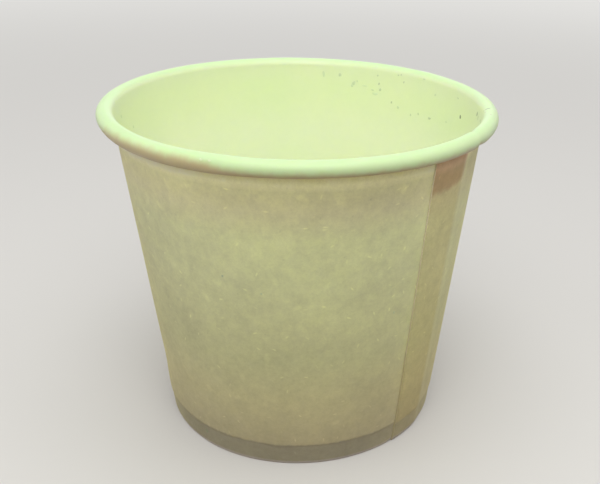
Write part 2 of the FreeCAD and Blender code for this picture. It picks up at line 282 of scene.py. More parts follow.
def sheet_faces(turn):
    """The paper's outside and its cup side, each as radius and height. The middle surface is
    moved out by a paper's thickness on the lap, and its faces stand half a thickness off that,
    along the section's normal."""
    radius, height = sheet_middle(turn)
    along = rows_up()
    slope_out, slope_up = np.gradient(radius, along, axis=0), np.gradient(height, along, axis=0)
    size = np.hypot(slope_out, slope_up)
    normal_out, normal_up = slope_up / size, -slope_out / size
    over = np.where(turn < 180, PLY_STEP * two_ply(np.maximum(turn, SEAM)), 0)
    return [(radius + normal_out * d, height + normal_up * d)
            for d in (over + PAPER / 2, over - PAPER / 2)]


def make_sidewall(materials):
    """The wound sheet: its outside and its cup side, joined across the cut edges. Its points keep
    their place on the sheet: millimetres round it, millimetres up it, and the turn."""
    spans = [np.linspace(start, stop, count)[:-1]
             for (start, count), (stop, _) in zip(COLUMNS, COLUMNS[1:])]
    turn = np.concatenate(spans + [[COLUMNS[-1][0]]])[None, :]
    along = rows_up()
    outside, cup_side = sheet_faces(turn)
    r = np.vstack([outside[0], cup_side[0][::-1]])
    z = np.vstack([outside[1], cup_side[1][::-1]])
    angle = np.radians(turn)
    points = np.stack([r * np.sin(angle), -r * np.cos(angle), z], 2).reshape(-1, 3)
    rows, columns = r.shape
    skin, ends = shell_faces(rows, columns)
    up = np.concatenate([along, along[::-1]])
    place = np.stack(np.broadcast_arrays(angle * MID_RADIUS, up[:, None], turn), 2)
    ring = np.repeat(np.arange(rows), columns - 1)
    half = rows // 2
    cut = (ring == half - 1) | (ring == rows - 1)
    side = np.where(cut, CUT_EDGE, np.where(ring < half, OUTSIDE, CUP_SIDE))
    finish = np.concatenate([side, np.full(len(ends), CUT_EDGE)])
    return put_mesh("sidewall_sheet", points, [np.vstack([skin, ends])], materials, finish,
                    sheet=place.reshape(-1, 3))


# ---------------------------------------------------------------------------
# Small marks that stand on the sheet, a row each: the turn, millimetres up the sheet, half the
# width, half the height, and how dark

# dried specks inside the cup, most of them under the rim at the back right
RESIDUE = [
    (171.8, 61.9, 0.30, 0.70, 0.20), (165.5, 61.9, 0.30, 0.45, 0.34),
    (159.9, 60.3, 0.40, 0.45, 0.31), (160.5, 59.7, 0.35, 0.30, 0.23),
    (158.5, 60.9, 0.20, 0.30, 0.20), (150.4, 62.7, 0.20, 0.25, 0.34),
    (149.6, 60.9, 0.22, 0.28, 0.42), (152.1, 59.3, 0.40, 0.20, 0.23),
    (151.0, 58.5, 0.70, 0.35, 0.16), (148.9, 59.6, 0.28, 0.35, 0.39),
    (143.6, 57.2, 0.22, 0.25, 0.53), (140.5, 56.4, 0.30, 0.35, 0.23),
    (155.4, 60.0, 0.60, 0.16, 0.17), (139.0, 62.2, 0.20, 0.25, 0.36),
    (134.3, 55.4, 0.20, 0.28, 0.36), (130.6, 56.1, 0.25, 0.30, 0.28),
    (124.6, 55.9, 0.40, 0.30, 0.45), (123.3, 61.3, 0.22, 0.25, 0.26),
    (109.9, 62.5, 0.50, 0.14, 0.23), (106.0, 59.1, 0.32, 0.45, 1.05),
    (91.3, 62.2, 0.40, 0.55, 0.62), (89.3, 61.8, 0.35, 0.45, 0.26),
    (114.9, 56.6, 0.25, 0.25, 0.26), (84.4, 62.1, 0.35, 0.28, 0.28),
    (82.2, 62.0, 0.35, 0.28, 0.28), (-100.9, 57.2, 0.30, 0.30, 0.20),
    (-92.0, 60.8, 0.40, 0.35, 0.17), (141.7, 63.5, 0.20, 0.20, 0.36),
    (140.5, 63.7, 0.20, 0.20, 0.36), (129.8, 63.9, 0.45, 0.16, 0.26),
    (82.7, 64.3, 0.30, 0.20, 0.23), (79.5, 64.6, 0.25, 0.20, 0.23),
    (74.1, 65.7, 0.22, 0.20, 0.20),
]
# dark fibre bundles in the bare paper outside
SHIVES = [
    (-24.9, 42.0, 0.20, 0.26, 0.70), (-12.8, 39.5, 0.16, 0.18, 0.55),
    (-43.6, 2.9, 0.30, 0.50, 1.20), (31.0, 33.0, 0.14, 0.30, 0.40),
    (118.0, 27.0, 0.18, 0.25, 0.60), (171.0, 44.0, 0.15, 0.22, 0.50),
    (-140.0, 18.0, 0.22, 0.18, 0.50),
]
# two small bumps in the bead's coat, coloured pale as painted glints
RIM_GLINTS = [
    (-24.7, 67.0, 0.20, 0.20, 0.0), (-22.4, 67.0, 0.22, 0.20, 0.0),
]
MARK_COLUMNS = 14
MARK_RISE = 0.05
# a mark's rings from its top to its underside: their size, and their rise from the sheet
DOME = np.array([(0.0, 1.0), (0.4, 0.9), (0.72, 0.62), (0.92, 0.3), (1.0, -0.2), (0.9, -0.6),
                 (0.0, -0.6)])


def make_marks(name, table, face, materials):
    """Flat drops that stand on one face of the sheet. A drop is a dome: rings that shrink towards
    its top as its height rises, with an uneven outline, and a flat underside sunk in the paper.
    Each is laid across and up the sheet where it stands."""
    turn, up, wide, tall, dark = np.array(table).T
    count = len(table)
    wound = np.where(turn < SEAM, turn + 360, turn)
    radius, height = sheet_faces(wound[None, :])[face]
    rows = rows_up()
    below = np.searchsorted(rows, up) - 1
    pick = np.arange(count)
    share = (up - rows[below]) / (rows[below + 1] - rows[below])
    out = radius[below, pick] * (1 - share) + radius[below + 1, pick] * share
    high = height[below, pick] * (1 - share) + height[below + 1, pick] * share
    rise_out = radius[below + 1, pick] - radius[below, pick]
    rise_up = height[below + 1, pick] - height[below, pick]
    size = np.hypot(rise_out, rise_up)
    angle = np.radians(turn)
    outward = np.stack([np.sin(angle), -np.cos(angle), 0 * angle], 1)
    across = np.stack([np.cos(angle), np.sin(angle), 0 * angle], 1)
    level = np.stack([0 * angle, 0 * angle, 1 + 0 * angle], 1)
    along = outward * (rise_out / size)[:, None] + level * (rise_up / size)[:, None]
    proud = outward * (rise_up / size)[:, None] - level * (rise_out / size)[:, None]
    proud = proud * (1 if face == OUTSIDE else -1)
    middle = outward * out[:, None] + level * high[:, None]

    spin = np.linspace(0, 2 * np.pi, MARK_COLUMNS, endpoint=False)
    own = np.arange(count)[:, None] * 1.7
    outline = 1 + 0.14 * np.sin(2 * spin + own) + 0.09 * np.sin(3 * spin + 2.3 * own)
    reach = DOME[None, :, :1] * outline[:, None, :]
    side = (reach * np.cos(spin) * wide[:, None, None])[..., None] * across[:, None, None, :]
    length = (reach * np.sin(spin) * tall[:, None, None])[..., None] * along[:, None, None, :]
    lift = (DOME[:, 1] * MARK_RISE)[None, :, None, None] * proud[:, None, None, :]
    grid = middle[:, None, None, :] + side + length + lift
    rings = len(DOME) - 2
    one = 2 + rings * MARK_COLUMNS
    points = np.concatenate([grid[:, 0, :1], grid[:, 1:-1].reshape(count, -1, 3),
                             grid[:, -1, :1]], 1).reshape(-1, 3)
    shift = (np.arange(count) * one)[:, None, None]
    quads, caps = closed_rings(rings, MARK_COLUMNS)
    faces = [(quads + shift).reshape(-1, 4), (caps + shift).reshape(-1, 3)]
    tone = np.repeat(np.stack([dark, 0 * dark, 0 * dark], 1), one, 0)
    return put_mesh(name, points, faces, materials, mark=tone)


# ---------------------------------------------------------------------------
# The bottom disc

DISC_COLUMNS = 240
FLAT_ROWS, CORNER_ROWS, SKIRT_ROWS = 18, 9, 6
DISC_SUNK, DISC_WAVE, PLEAT = 0.12, 0.03, 0.05


def make_disc(materials):
    """A round blank with its edge turned down: the section runs out along the top, round the
    corner, down the skirt, back up inside it and in along the underside, and is swept round. The
    top sinks a little towards its middle, and small pleats stand where the edge was drawn down."""
    turn = np.linspace(0, 360, DISC_COLUMNS, endpoint=False)[None, :]
    skirt_out = WALL_AT_FLOOR - BAND_PRESS - PAPER / np.cos(LEAN) - GLUE_GAP
    bend_up = DISC_TOP - DISC_CORNER
    bend_out = skirt_out + bend_up * SLOPE - DISC_CORNER * np.cos(LEAN)
    flat = np.linspace(0, bend_out - 0.3, FLAT_ROWS)
    heading = np.radians(np.linspace(90, -np.degrees(LEAN), CORNER_ROWS))
    down = np.linspace(bend_up - 0.3, SKIRT_FOOT, SKIRT_ROWS)
    sections = []
    for inset in (0.0, DISC_PAPER):
        bend = DISC_CORNER - inset
        sections.append((np.concatenate([flat, bend_out + bend * np.cos(heading),
                                         skirt_out + down * SLOPE - inset / np.cos(LEAN)]),
                         np.concatenate([flat * 0 + DISC_TOP - inset,
                                         bend_up + bend * np.sin(heading), down])))
    r = np.concatenate([sections[0][0], sections[1][0][::-1]])[:, None]
    z = np.concatenate([sections[0][1], sections[1][1][::-1]])[:, None]
    sunk = DISC_SUNK * (1 - ease(r, 0, 24))
    sunk = sunk + DISC_WAVE * waves(turn, (2, 3), (15, 200)) * ease(r, 0, 15)
    pleat = PLEAT * waves(turn, (47, 61, 83), (0, 90, 30)) * ease(r, 23, 26.5)
    z = z - (sunk + np.maximum(pleat, 0)) * ease(z, 4.5, 5.3)
    angle = np.radians(turn)
    grid = np.stack(np.broadcast_arrays(r * np.sin(angle), -r * np.cos(angle), z), 2)
    points = np.vstack([grid[0].mean(0), grid[1:-1].reshape(-1, 3), grid[-1].mean(0)])
    faces = closed_rings(len(r) - 2, DISC_COLUMNS)
    return put_mesh("bottom_disc_blank", points, list(faces), materials)


# ---------------------------------------------------------------------------
# Materials

# Bare paper from the foot up, by millimetres up the sheet: its tone, with painted shade that
# darkens it towards the foot, a painted shadow of the bead from 55 to 57.5 mm, and painted light
# just under the bead
PAPER_TONES_AND_SHADE = [(5, "#C0B88F"), (15, "#CDC998"), (25, "#CFD19E"), (34, "#D9DCA9"),
               (42, "#DCE0AF"), (50, "#DFE3B2"), (55, "#DDDCB0"), (57.5, "#DDDCAD"),
               (59, "#E2E2B3"), (60.2, "#FCFAD2")]
# The lap's, the patch's and the band's tints are painted shade and painted shadow
LAP_SHADE, PATCH_SHADE, BAND_SHADE, FOLD = "#FCF6E3", "#E5CECF", "#A29C80", "#B8AFA0"
# The inside's lowest tone is painted lighter: painted light that comes through the paper
INSIDE_LOW_LIT, INSIDE, DRAWN_EDGE = "#F1FFDA", "#ECF9CC", "#C0B88F"
# The tan under the bead and the crease's tint are painted shade
RIM, RIM_SIDE, RIM_UNDER_SHADE, CREASE_SHADE = "#D6F8B8", "#DBF8BD", "#D6CB9A", "#9DAE88"
CUT, CUT_FOOT, CUT_DARK = "#FFF9E2", "#BDB38A", "#CFC69C"
# The pale tone is also the colour of the two painted glints on the bead
RESIDUE_AND_GLINT_PALE, RESIDUE_DARK = "#EAFACE", "#5A5F3A"

# The coated side's tones above the lowest one, which is painted lighter low in the cup as painted
# light that comes through the paper: from where to where up the sheet each comes in
COATED_TONES = [(47.0, 60.0, INSIDE), (63.8, 65.2, RIM), (65.8, 67.2, RIM_SIDE)]
# The painted shade under the bead, a tan: where up the sheet it comes in, by how much its edge
# wanders and how wide the wandering's spots are. At the left, between these turns, it comes in
# higher up.
TAN_START, TAN_FULL, TAN_WANDER, TAN_SPOT = 68.1, 69.9, 1.2, 3.0
TAN_RISES, TAN_FALLS, TAN_HIGHER = (285.0, 305.0), (332.0, 350.0), 1.2
# How far up the sheet the bead's crease lies, and one over its half height and half width, for
# the painted shade in it
CREASE_UP, CREASE_SHARES = 65.1, (0.0, 1.4, 2.2)

# The lap's painted shade, for the light that two plies hold back, ends a little past its hidden
# edge
LAP_ENDS = SEAM + LAP - 1, SEAM + LAP + 3
# The patch of painted shadow under the bead on the lap: its middle, half its width in degrees and
# half its height, and the sums of its shares at which it ends and is full
PATCH_TURN, PATCH_UP, PATCH_WIDE, PATCH_TALL = 44.0, 61.5, 12.5, 6.0
PATCH_OUT, PATCH_IN = 2.0, 0.9
# How far the edges of patch and band wander, and how wide the wandering's spots are
EDGE_WANDER, EDGE_SPOT = 0.9, 2.5
# The band's painted shade ends this far above its pressed height, and is weaker near the seam.
# Turns past
# 360 are on the end of the winding, which comes up to the seam from its other side.
BAND_ENDS = 0.75, 1.25
BAND_TO_SEAM, BAND_AT_SEAM = (382.0, 398.0), 0.7
BAND_FROM_SEAM, BAND_PAST_SEAM = (60.0, 120.0), 0.55
FOLD_ENDS = 0.75, 0.4

# Painted shade on the line pressed just past the seam, faint high up and darker low down, and a
# painted highlight on the paper beside it
PRESS_ENDS, PRESS_UP, PRESS_SHADE = (0.2, 1.4), (35.0, 12.0), (0.03, 0.12)
SEAM_HIGHLIGHT_TURNS, SEAM_HIGHLIGHT = (392.0, 398.0), 0.07
# The left side, with painted shade low down and painted light under the rim: its middle, and where
# it ends
LEFT_TURN, LEFT_ENDS, LEFT_UP, LEFT_LIGHT_AND_SHADE = 290.0, (60.0, 25.0), (46.0, 58.0), (-0.09, 0.11)

# Fleck kinds: the cell that they are scattered by, their length and width in millimetres, the
# share of the cells that hold one, and how much lighter they are. Drawn coarser than real: a
# fibre is about 0.03 mm wide, too fine to show, and is 0.36 mm wide here. The others stand for
# knots of fibre and for dull dust.
FLECKS = [(3.1, 0.95, 0.36, 0.45, 0.22), (5.3, 2.2, 1.2, 0.5, 0.10),
          (2.6, 0.45, 0.3, 0.25, -0.09)]

# In metres: clouds and flocks of fibre, and the surface's grain. Drawn coarser than real: paper's
# grain is about 0.1 mm, too fine to show, and under the coat it is blurred wider still.
CLOUD, FLOCK = 0.012, 0.003
BARE_GRAIN, COATED_GRAIN, CUT_GRAIN, RESIDUE_GRAIN = 0.0005, 0.0012, 0.0003, 0.0002
GRAIN_TALL = 0.00005
DRAW_RING, DRAW_TALL, DRAW_START, DRAW_FULL = 0.0009, 0.0001, 0.021, 0.0262
CUT_DULL, CUT_PALE_FROM = 0.015, 0.05

PAPER_IOR, RESIDUE_IOR = 1.5, 1.45
# Light goes about a paper's thickness into the paper, and blue light less far
LETS_LIGHT_IN = {"Subsurface Weight": 1.0, "Subsurface Scale": 0.0003,
                 "Subsurface Radius": (1.0, 1.0, 0.7)}
# The fuzz of loose fibre, as warm as the paper
FUZZ = {"Sheen Weight": 0.3, "Sheen Roughness": 0.3, "Sheen Tint": (1.0, 0.92, 0.35, 1.0)}


def colour(hexes):
    """Linear colour of an sRGB hex value."""
    parts = np.array([int(hexes[i:i + 2], 16) / 255 for i in (1, 3, 5)])
    linear = np.where(parts <= 0.04045, parts / 12.92, ((parts + 0.055) / 1.055) ** 2.4)
    return (*linear.tolist(), 1.0)


def add(tree, kind, inputs=None, **settings):
    """Adds a node. Its inputs, by name or number, are values or another node's outputs."""
    made = tree.nodes.new("ShaderNode" + kind)
    for name, value in settings.items():
        setattr(made, name, value)
    for name, value in (inputs or {}).items():
        if isinstance(value, bpy.types.NodeSocket):
            tree.links.new(value, made.inputs[name])
        else:
            made.inputs[name].default_value = value
    return made


def blank_material(name):
    """A material without any nodes, and its tree."""
    material = bpy.data.materials.new(name)
    material.use_nodes = True
    material.node_tree.nodes.clear()
    return material, material.node_tree


def sheet_places(tree):
    """The sheet's own coordinates: all three, then the millimetres up it and the turn."""
    place = add(tree, "Attribute", attribute_name="sheet").outputs["Vector"]
    parts = add(tree, "SeparateXYZ", {0: place})
    return place, parts.outputs["Y"], parts.outputs["Z"]


def formation(tree, coarse, fine):
    """How light the paper is from place to place, about 1: clouds of fibre a centimetre across,
    and flocks of 3 mm down to 0.2 mm, each size nearly as strong as the next."""
    spot = add(tree, "TexCoord").outputs["Object"]
    clouds = add(tree, "TexNoise", {"Vector": spot, "Scale": 1 / CLOUD, "Detail": 1.0})
    flocks = add(tree, "TexNoise", {"Vector": spot, "Scale": 1 / FLOCK, "Detail": 4.0,
                                    "Roughness": 0.9})
    light = add(tree, "Math", {0: clouds.outputs["Fac"], 1: coarse, 2: 1.0 - (coarse + fine) / 2},
                operation="MULTIPLY_ADD")
    return add(tree, "Math", {0: flocks.outputs["Fac"], 1: fine, 2: light.outputs[0]},
               operation="MULTIPLY_ADD").outputs[0]


def fibre_flecks(tree, place, cell, long, wide, share):
    """1 on short straight flecks and 0 between: one to some of the cells of a scatter, each
    turned its own way. All sizes are in millimetres."""
    cells = add(tree, "TexVoronoi", {"Vector": place, "Scale": 1 / cell},
                voronoi_dimensions="2D", feature="F1")
    chance = add(tree, "SeparateXYZ", {0: cells.outputs["Color"]})
    apart = add(tree, "VectorMath", {0: place, 1: cells.outputs["Position"]},
                operation="SUBTRACT")
    angle = add(tree, "Math", {0: chance.outputs["X"], 1: 2 * np.pi}, operation="MULTIPLY")
    laid = add(tree, "VectorRotate", {"Vector": apart.outputs[0], "Angle": angle.outputs[0]},
               rotation_type="Z_AXIS")
    squeezed = add(tree, "VectorMath", {0: laid.outputs[0], 1: (2 / long, 2 / wide, 0.0)},
                   operation="MULTIPLY")
    reach = add(tree, "VectorMath", {0: squeezed.outputs[0]}, operation="LENGTH")
    body = add(tree, "MapRange", {0: reach.outputs["Value"], 1: 0.3, 2: 1.3, 3: 1.0, 4: 0.0},
               interpolation_type="SMOOTHSTEP")
    chosen = add(tree, "MapRange", {0: chance.outputs["Y"], 1: 1 - share, 2: 1.0, 3: 0.0, 4: 1.0})
    return add(tree, "Math", {0: body.outputs[0], 1: chosen.outputs[0]},
               operation="MULTIPLY").outputs[0]


def shadow_patch(tree, place, wander):
    """1 on the patch of painted shadow under the bead: a rounded oblong, from the sum of the
    fourth powers of the shares of the way to its sides, with an edge that wanders."""
    from_middle = add(tree, "VectorMath", {0: place, 1: (0.0, PATCH_UP, PATCH_TURN)},
                      operation="SUBTRACT")
    shares = add(tree, "VectorMath", {0: from_middle.outputs[0],
                                      1: (0.0, 1 / PATCH_TALL, 1 / PATCH_WIDE)},
                 operation="MULTIPLY")
    squares = add(tree, "VectorMath", {0: shares.outputs[0], 1: shares.outputs[0]},
                  operation="MULTIPLY")
    fourth = add(tree, "VectorMath", {0: squares.outputs[0], 1: squares.outputs[0]},
                 operation="DOT_PRODUCT")
    uneven = add(tree, "Math", {0: wander, 1: EDGE_WANDER, 2: fourth.outputs["Value"]},
                 operation="MULTIPLY_ADD")
    return add(tree, "MapRange", {0: uneven.outputs[0], 1: PATCH_OUT, 2: PATCH_IN,
                                  3: 0.0, 4: 1.0}, interpolation_type="SMOOTHSTEP").outputs[0]


def band_shade(tree, up, turn, wander):
    """How much painted shade the pressed band has: fully below its wandering upper edge, less so
    near the seam from either side."""
    edge = add(tree, "Math", {0: wander, 1: EDGE_WANDER, 2: up}, operation="MULTIPLY_ADD")
    band = add(tree, "MapRange", {0: edge.outputs[0], 1: BAND_TOP + BAND_ENDS[0],
                                  2: BAND_TOP + BAND_ENDS[1], 3: 1.0, 4: 0.0})
    to_seam = add(tree, "MapRange", {0: turn, 1: BAND_TO_SEAM[0], 2: BAND_TO_SEAM[1],
                                     3: 1.0, 4: BAND_AT_SEAM}, interpolation_type="SMOOTHSTEP")
    from_seam = add(tree, "MapRange", {0: turn, 1: BAND_FROM_SEAM[0], 2: BAND_FROM_SEAM[1],
                                       3: BAND_PAST_SEAM, 4: 1.0},
                    interpolation_type="SMOOTHSTEP")
    both = add(tree, "Math", {0: to_seam.outputs[0], 1: from_seam.outputs[0]},
               operation="MULTIPLY")
    return add(tree, "Math", {0: band.outputs[0], 1: both.outputs[0]},
               operation="MULTIPLY").outputs[0]


def bare_light(tree, place, up, turn):
    """How light bare paper is: its formation, less painted shade on the line pressed past the
    seam, with a painted highlight beside the seam and painted light and shade at the left, and
    more or less of it on the flecks."""
    light = formation(tree, 0.20, 0.48)
    # Painted shade on the pressed line just past the seam
    pressed = add(tree, "MapRange", {0: turn, 1: SEAM + PRESS_ENDS[0], 2: SEAM + PRESS_ENDS[1],
                                     3: -1.0, 4: 0.0})
    seam_press_shade = add(tree, "MapRange", {0: up, 1: PRESS_UP[0], 2: PRESS_UP[1],
                                    3: PRESS_SHADE[0], 4: PRESS_SHADE[1]})
    light = add(tree, "Math", {0: pressed.outputs[0], 1: seam_press_shade.outputs[0], 2: light},
                operation="MULTIPLY_ADD")
    # A painted highlight beside the seam
    beside = add(tree, "MapRange", {0: turn, 1: SEAM_HIGHLIGHT_TURNS[0], 2: SEAM_HIGHLIGHT_TURNS[1],
                                    3: 0.0, 4: SEAM_HIGHLIGHT})
    light = add(tree, "Math", {0: light.outputs[0], 1: beside.outputs[0]}, operation="ADD")
    # Painted light under the rim on the left and painted shade lower down there
    away = add(tree, "Math", {0: turn, 1: LEFT_TURN}, operation="SUBTRACT")
    away = add(tree, "Math", {0: away.outputs[0]}, operation="ABSOLUTE")
    from_left = add(tree, "MapRange", {0: away.outputs[0], 1: LEFT_ENDS[0], 2: LEFT_ENDS[1]},
                    interpolation_type="SMOOTHSTEP")
    paler = add(tree, "MapRange", {0: up, 1: LEFT_UP[0], 2: LEFT_UP[1],
                                   3: LEFT_LIGHT_AND_SHADE[0], 4: LEFT_LIGHT_AND_SHADE[1]},
                interpolation_type="SMOOTHSTEP")
    light = add(tree, "Math", {0: from_left.outputs[0], 1: paler.outputs[0], 2: light.outputs[0]},
                operation="MULTIPLY_ADD")
    for cell, long, wide, share, lighter in FLECKS:
        flecks = fibre_flecks(tree, place, cell, long, wide, share)
        light = add(tree, "Math", {0: flecks, 1: lighter, 2: light.outputs[0]},
                    operation="MULTIPLY_ADD")
    return light.outputs[0]


def bare_cup_stock():
    """Uncoated bleached cup stock, calendered: matt, faintly fuzzy at a glance along it, with
    cloudy fibre formation and single fibres that show as short pale flecks. It lets some light
    through, and where it lies double it is painted darker, as painted shade for the light that two
    plies hold back. It has painted shade towards the foot and on the pressed band, painted shadow
    on the lap under the bead, painted light just under the bead, and painted light and shade at
    the left."""
    material, tree = blank_material("bare_cup_stock")
    place, up, turn = sheet_places(tree)
    # The tone ramp holds painted shade towards the foot, a painted shadow of the bead and painted
    # light just under it
    full = PAPER_TONES_AND_SHADE[-1][0]
    height = add(tree, "Math", {0: up, 1: 1 / full}, operation="MULTIPLY")
    tone = add(tree, "ValToRGB", {0: height.outputs[0]})
    for k, (at, shade) in enumerate(PAPER_TONES_AND_SHADE):
        stop = tone.color_ramp.elements[k] if k < 2 else tone.color_ramp.elements.new(at / full)
        stop.position = at / full
        stop.color = colour(shade)

    # The lap is painted darker: painted shade for the light that two plies hold back
    lap = add(tree, "MapRange", {0: turn, 1: LAP_ENDS[0], 2: LAP_ENDS[1], 3: 1.0, 4: 0.0},
              interpolation_type="SMOOTHSTEP")
    fold = add(tree, "MapRange", {0: up, 1: FOLD_ENDS[0], 2: FOLD_ENDS[1], 3: 0.0, 4: 1.0},
               interpolation_type="SMOOTHSTEP")
    wander = add(tree, "TexNoise", {"Vector": place, "Scale": 1 / EDGE_SPOT,
                                    "Detail": 3.0}).outputs["Fac"]
    tone = tone.outputs[0]
    # The lap, the patch and the band are tinted with painted shade and painted shadow
    for share, tint, way in ((lap.outputs[0], LAP_SHADE, "MULTIPLY"),
                             (shadow_patch(tree, place, wander), PATCH_SHADE, "MULTIPLY"),
                             (band_shade(tree, up, turn, wander), BAND_SHADE, "MIX"),
                             (fold.outputs[0], FOLD, "MIX")):
        tone = add(tree, "Mix", {0: share, 6: tone, 7: colour(tint)},
                   data_type="RGBA", blend_type=way).outputs[2]
    tone = add(tree, "VectorMath", {0: tone, "Scale": bare_light(tree, place, up, turn)},
               operation="SCALE")

    spot = add(tree, "TexCoord")
    grain = add(tree, "TexNoise", {"Vector": spot.outputs["Object"], "Scale": 1 / BARE_GRAIN,
                                   "Detail": 3.0})
    bumps = add(tree, "Bump", {"Height": grain.outputs["Fac"], "Strength": 0.3,
                               "Distance": GRAIN_TALL})
    shader = add(tree, "BsdfPrincipled", {"Base Color": tone.outputs[0], "Roughness": 0.85,
                                          "IOR": PAPER_IOR, "Normal": bumps.outputs[0],
                                          **LETS_LIGHT_IN, **FUZZ})
    add(tree, "OutputMaterial", {"Surface": shader.outputs[0]})
    return material


def shaded_underside(tree, place, up, turn):
    """1 on the painted shade under the bead, from an edge that wanders and stands higher at the
    front left.
    """
    wander = add(tree, "TexNoise", {"Vector": place, "Scale": 1 / TAN_SPOT, "Detail": 3.0})
    left = add(tree, "MapRange", {0: turn, 1: TAN_RISES[0], 2: TAN_RISES[1],
                                  3: 0.0, 4: TAN_HIGHER}, interpolation_type="SMOOTHSTEP")
    left = add(tree, "MapRange", {0: turn, 1: TAN_FALLS[0], 2: TAN_FALLS[1],
                                  3: left.outputs[0], 4: 0.0}, interpolation_type="SMOOTHSTEP")
    low = add(tree, "Math", {0: wander.outputs["Fac"], 1: TAN_WANDER, 2: up},
              operation="MULTIPLY_ADD")
    low = add(tree, "Math", {0: low.outputs[0], 1: left.outputs[0]}, operation="ADD")
    return add(tree, "MapRange", {0: low.outputs[0], 1: TAN_START, 2: TAN_FULL, 3: 0.0, 4: 1.0},
               interpolation_type="SMOOTHSTEP").outputs[0]


def coated_cup_stock():
    """Cup stock with a thin extruded polyethylene coat: the same paper under a soft sheen, with
    its formation blurred. Low in the cup it is painted lighter, as painted light that comes
    through the paper. Rolled outward it is the rim's skin, with painted shade, a tan, on its
    underside and painted shade in its crease."""
    material, tree = blank_material("coated_cup_stock")
    place, up, turn = sheet_places(tree)
    # Low in the cup the coat is painted lighter: painted light that comes through the paper
    tone = colour(INSIDE_LOW_LIT)
    for start, end, tint in COATED_TONES:
        share = add(tree, "MapRange", {0: up, 1: start, 2: end}, interpolation_type="SMOOTHSTEP")
        tone = add(tree, "Mix", {0: share.outputs[0], 6: tone, 7: colour(tint)},
                   data_type="RGBA").outputs[2]
    # Painted shade under the bead, a tan
    tone = add(tree, "Mix", {0: shaded_underside(tree, place, up, turn), 6: tone,
                             7: colour(RIM_UNDER_SHADE)}, data_type="RGBA")
    # Painted shade in the bead's crease
    from_crease = add(tree, "VectorMath", {0: place, 1: (0.0, CREASE_UP, CREASE[0])},
                      operation="SUBTRACT")
    shares = add(tree, "VectorMath", {0: from_crease.outputs[0], 1: CREASE_SHARES},
                 operation="MULTIPLY")
    reach = add(tree, "VectorMath", {0: shares.outputs[0]}, operation="LENGTH")
    crease = add(tree, "MapRange", {0: reach.outputs["Value"], 1: 1.0, 2: 0.4, 3: 0.0, 4: 1.0},
                 interpolation_type="SMOOTHSTEP")
    tone = add(tree, "Mix", {0: crease.outputs[0], 6: tone.outputs[2], 7: colour(CREASE_SHADE)},
               data_type="RGBA")
    tone = add(tree, "VectorMath", {0: tone.outputs[2], "Scale": formation(tree, 0.05, 0.06)},
               operation="SCALE")
    spot = add(tree, "TexCoord")
    grain = add(tree, "TexNoise", {"Vector": spot.outputs["Object"], "Scale": 1 / COATED_GRAIN,
                                   "Detail": 3.0})
    bumps = add(tree, "Bump", {"Height": grain.outputs["Fac"], "Strength": 0.15,
                               "Distance": GRAIN_TALL})
    shader = add(tree, "BsdfPrincipled", {"Base Color": tone.outputs[0], "Roughness": 0.42,
                                          "IOR": PAPER_IOR, "Normal": bumps.outputs[0],
                                          **LETS_LIGHT_IN})
    add(tree, "OutputMaterial", {"Surface": shader.outputs[0]})
    return material


def coated_base_stock():
    """The bottom blank: coated stock drawn down at its edge, which leaves faint rings there."""
    material, tree = blank_material("coated_base_stock")
    spot = add(tree, "TexCoord")
    flat = add(tree, "VectorMath", {0: spot.outputs["Object"], 1: (1.0, 1.0, 0.0)},
               operation="MULTIPLY")
    out = add(tree, "VectorMath", {0: flat.outputs[0]}, operation="LENGTH")
    edge = add(tree, "MapRange", {0: out.outputs["Value"], 1: DRAW_START, 2: DRAW_FULL},
               interpolation_type="SMOOTHSTEP")
    ring = add(tree, "TexNoise", {"W": out.outputs["Value"], "Scale": 1 / DRAW_RING,
                                  "Detail": 2.0}, noise_dimensions="1D")
    drawn = add(tree, "Math", {0: ring.outputs["Fac"], 1: edge.outputs[0]}, operation="MULTIPLY")
    tone = add(tree, "Mix", {0: drawn.outputs[0], 6: colour(INSIDE), 7: colour(DRAWN_EDGE)},
               data_type="RGBA")
    tone = add(tree, "VectorMath", {0: tone.outputs[2], "Scale": formation(tree, 0.06, 0.08)},
               operation="SCALE")
    bumps = add(tree, "Bump", {"Height": drawn.outputs[0], "Strength": 0.3,
                               "Distance": DRAW_TALL})
    shader = add(tree, "BsdfPrincipled", {"Base Color": tone.outputs[0], "Roughness": 0.42,
                                          "IOR": PAPER_IOR, "Normal": bumps.outputs[0],
                                          **LETS_LIGHT_IN})
    add(tree, "OutputMaterial", {"Surface": shader.outputs[0]})
    return material


def cut_paper():
    """The sheet's cut edge: raw fibre, paler and rougher than its faces, darker towards the foot.
    """
    material, tree = blank_material("cut_paper_edge")
    spot = add(tree, "TexCoord")
    grain = add(tree, "TexNoise", {"Vector": spot.outputs["Object"], "Scale": 1 / CUT_GRAIN,
                                   "Detail": 2.0})
    parts = add(tree, "SeparateXYZ", {0: spot.outputs["Object"]})
    height = add(tree, "MapRange", {0: parts.outputs["Z"], 1: CUT_DULL, 2: CUT_PALE_FROM})
    by_height = add(tree, "Mix", {0: height.outputs[0], 6: colour(CUT_FOOT), 7: colour(CUT)},
                data_type="RGBA")
    tone = add(tree, "Mix", {0: grain.outputs["Fac"], 6: colour(CUT_DARK), 7: by_height.outputs[2]},
               data_type="RGBA")
    shader = add(tree, "BsdfPrincipled", {"Base Color": tone.outputs[2], "Roughness": 0.95,
                                          "IOR": PAPER_IOR})
    add(tree, "OutputMaterial", {"Surface": shader.outputs[0]})
    return material


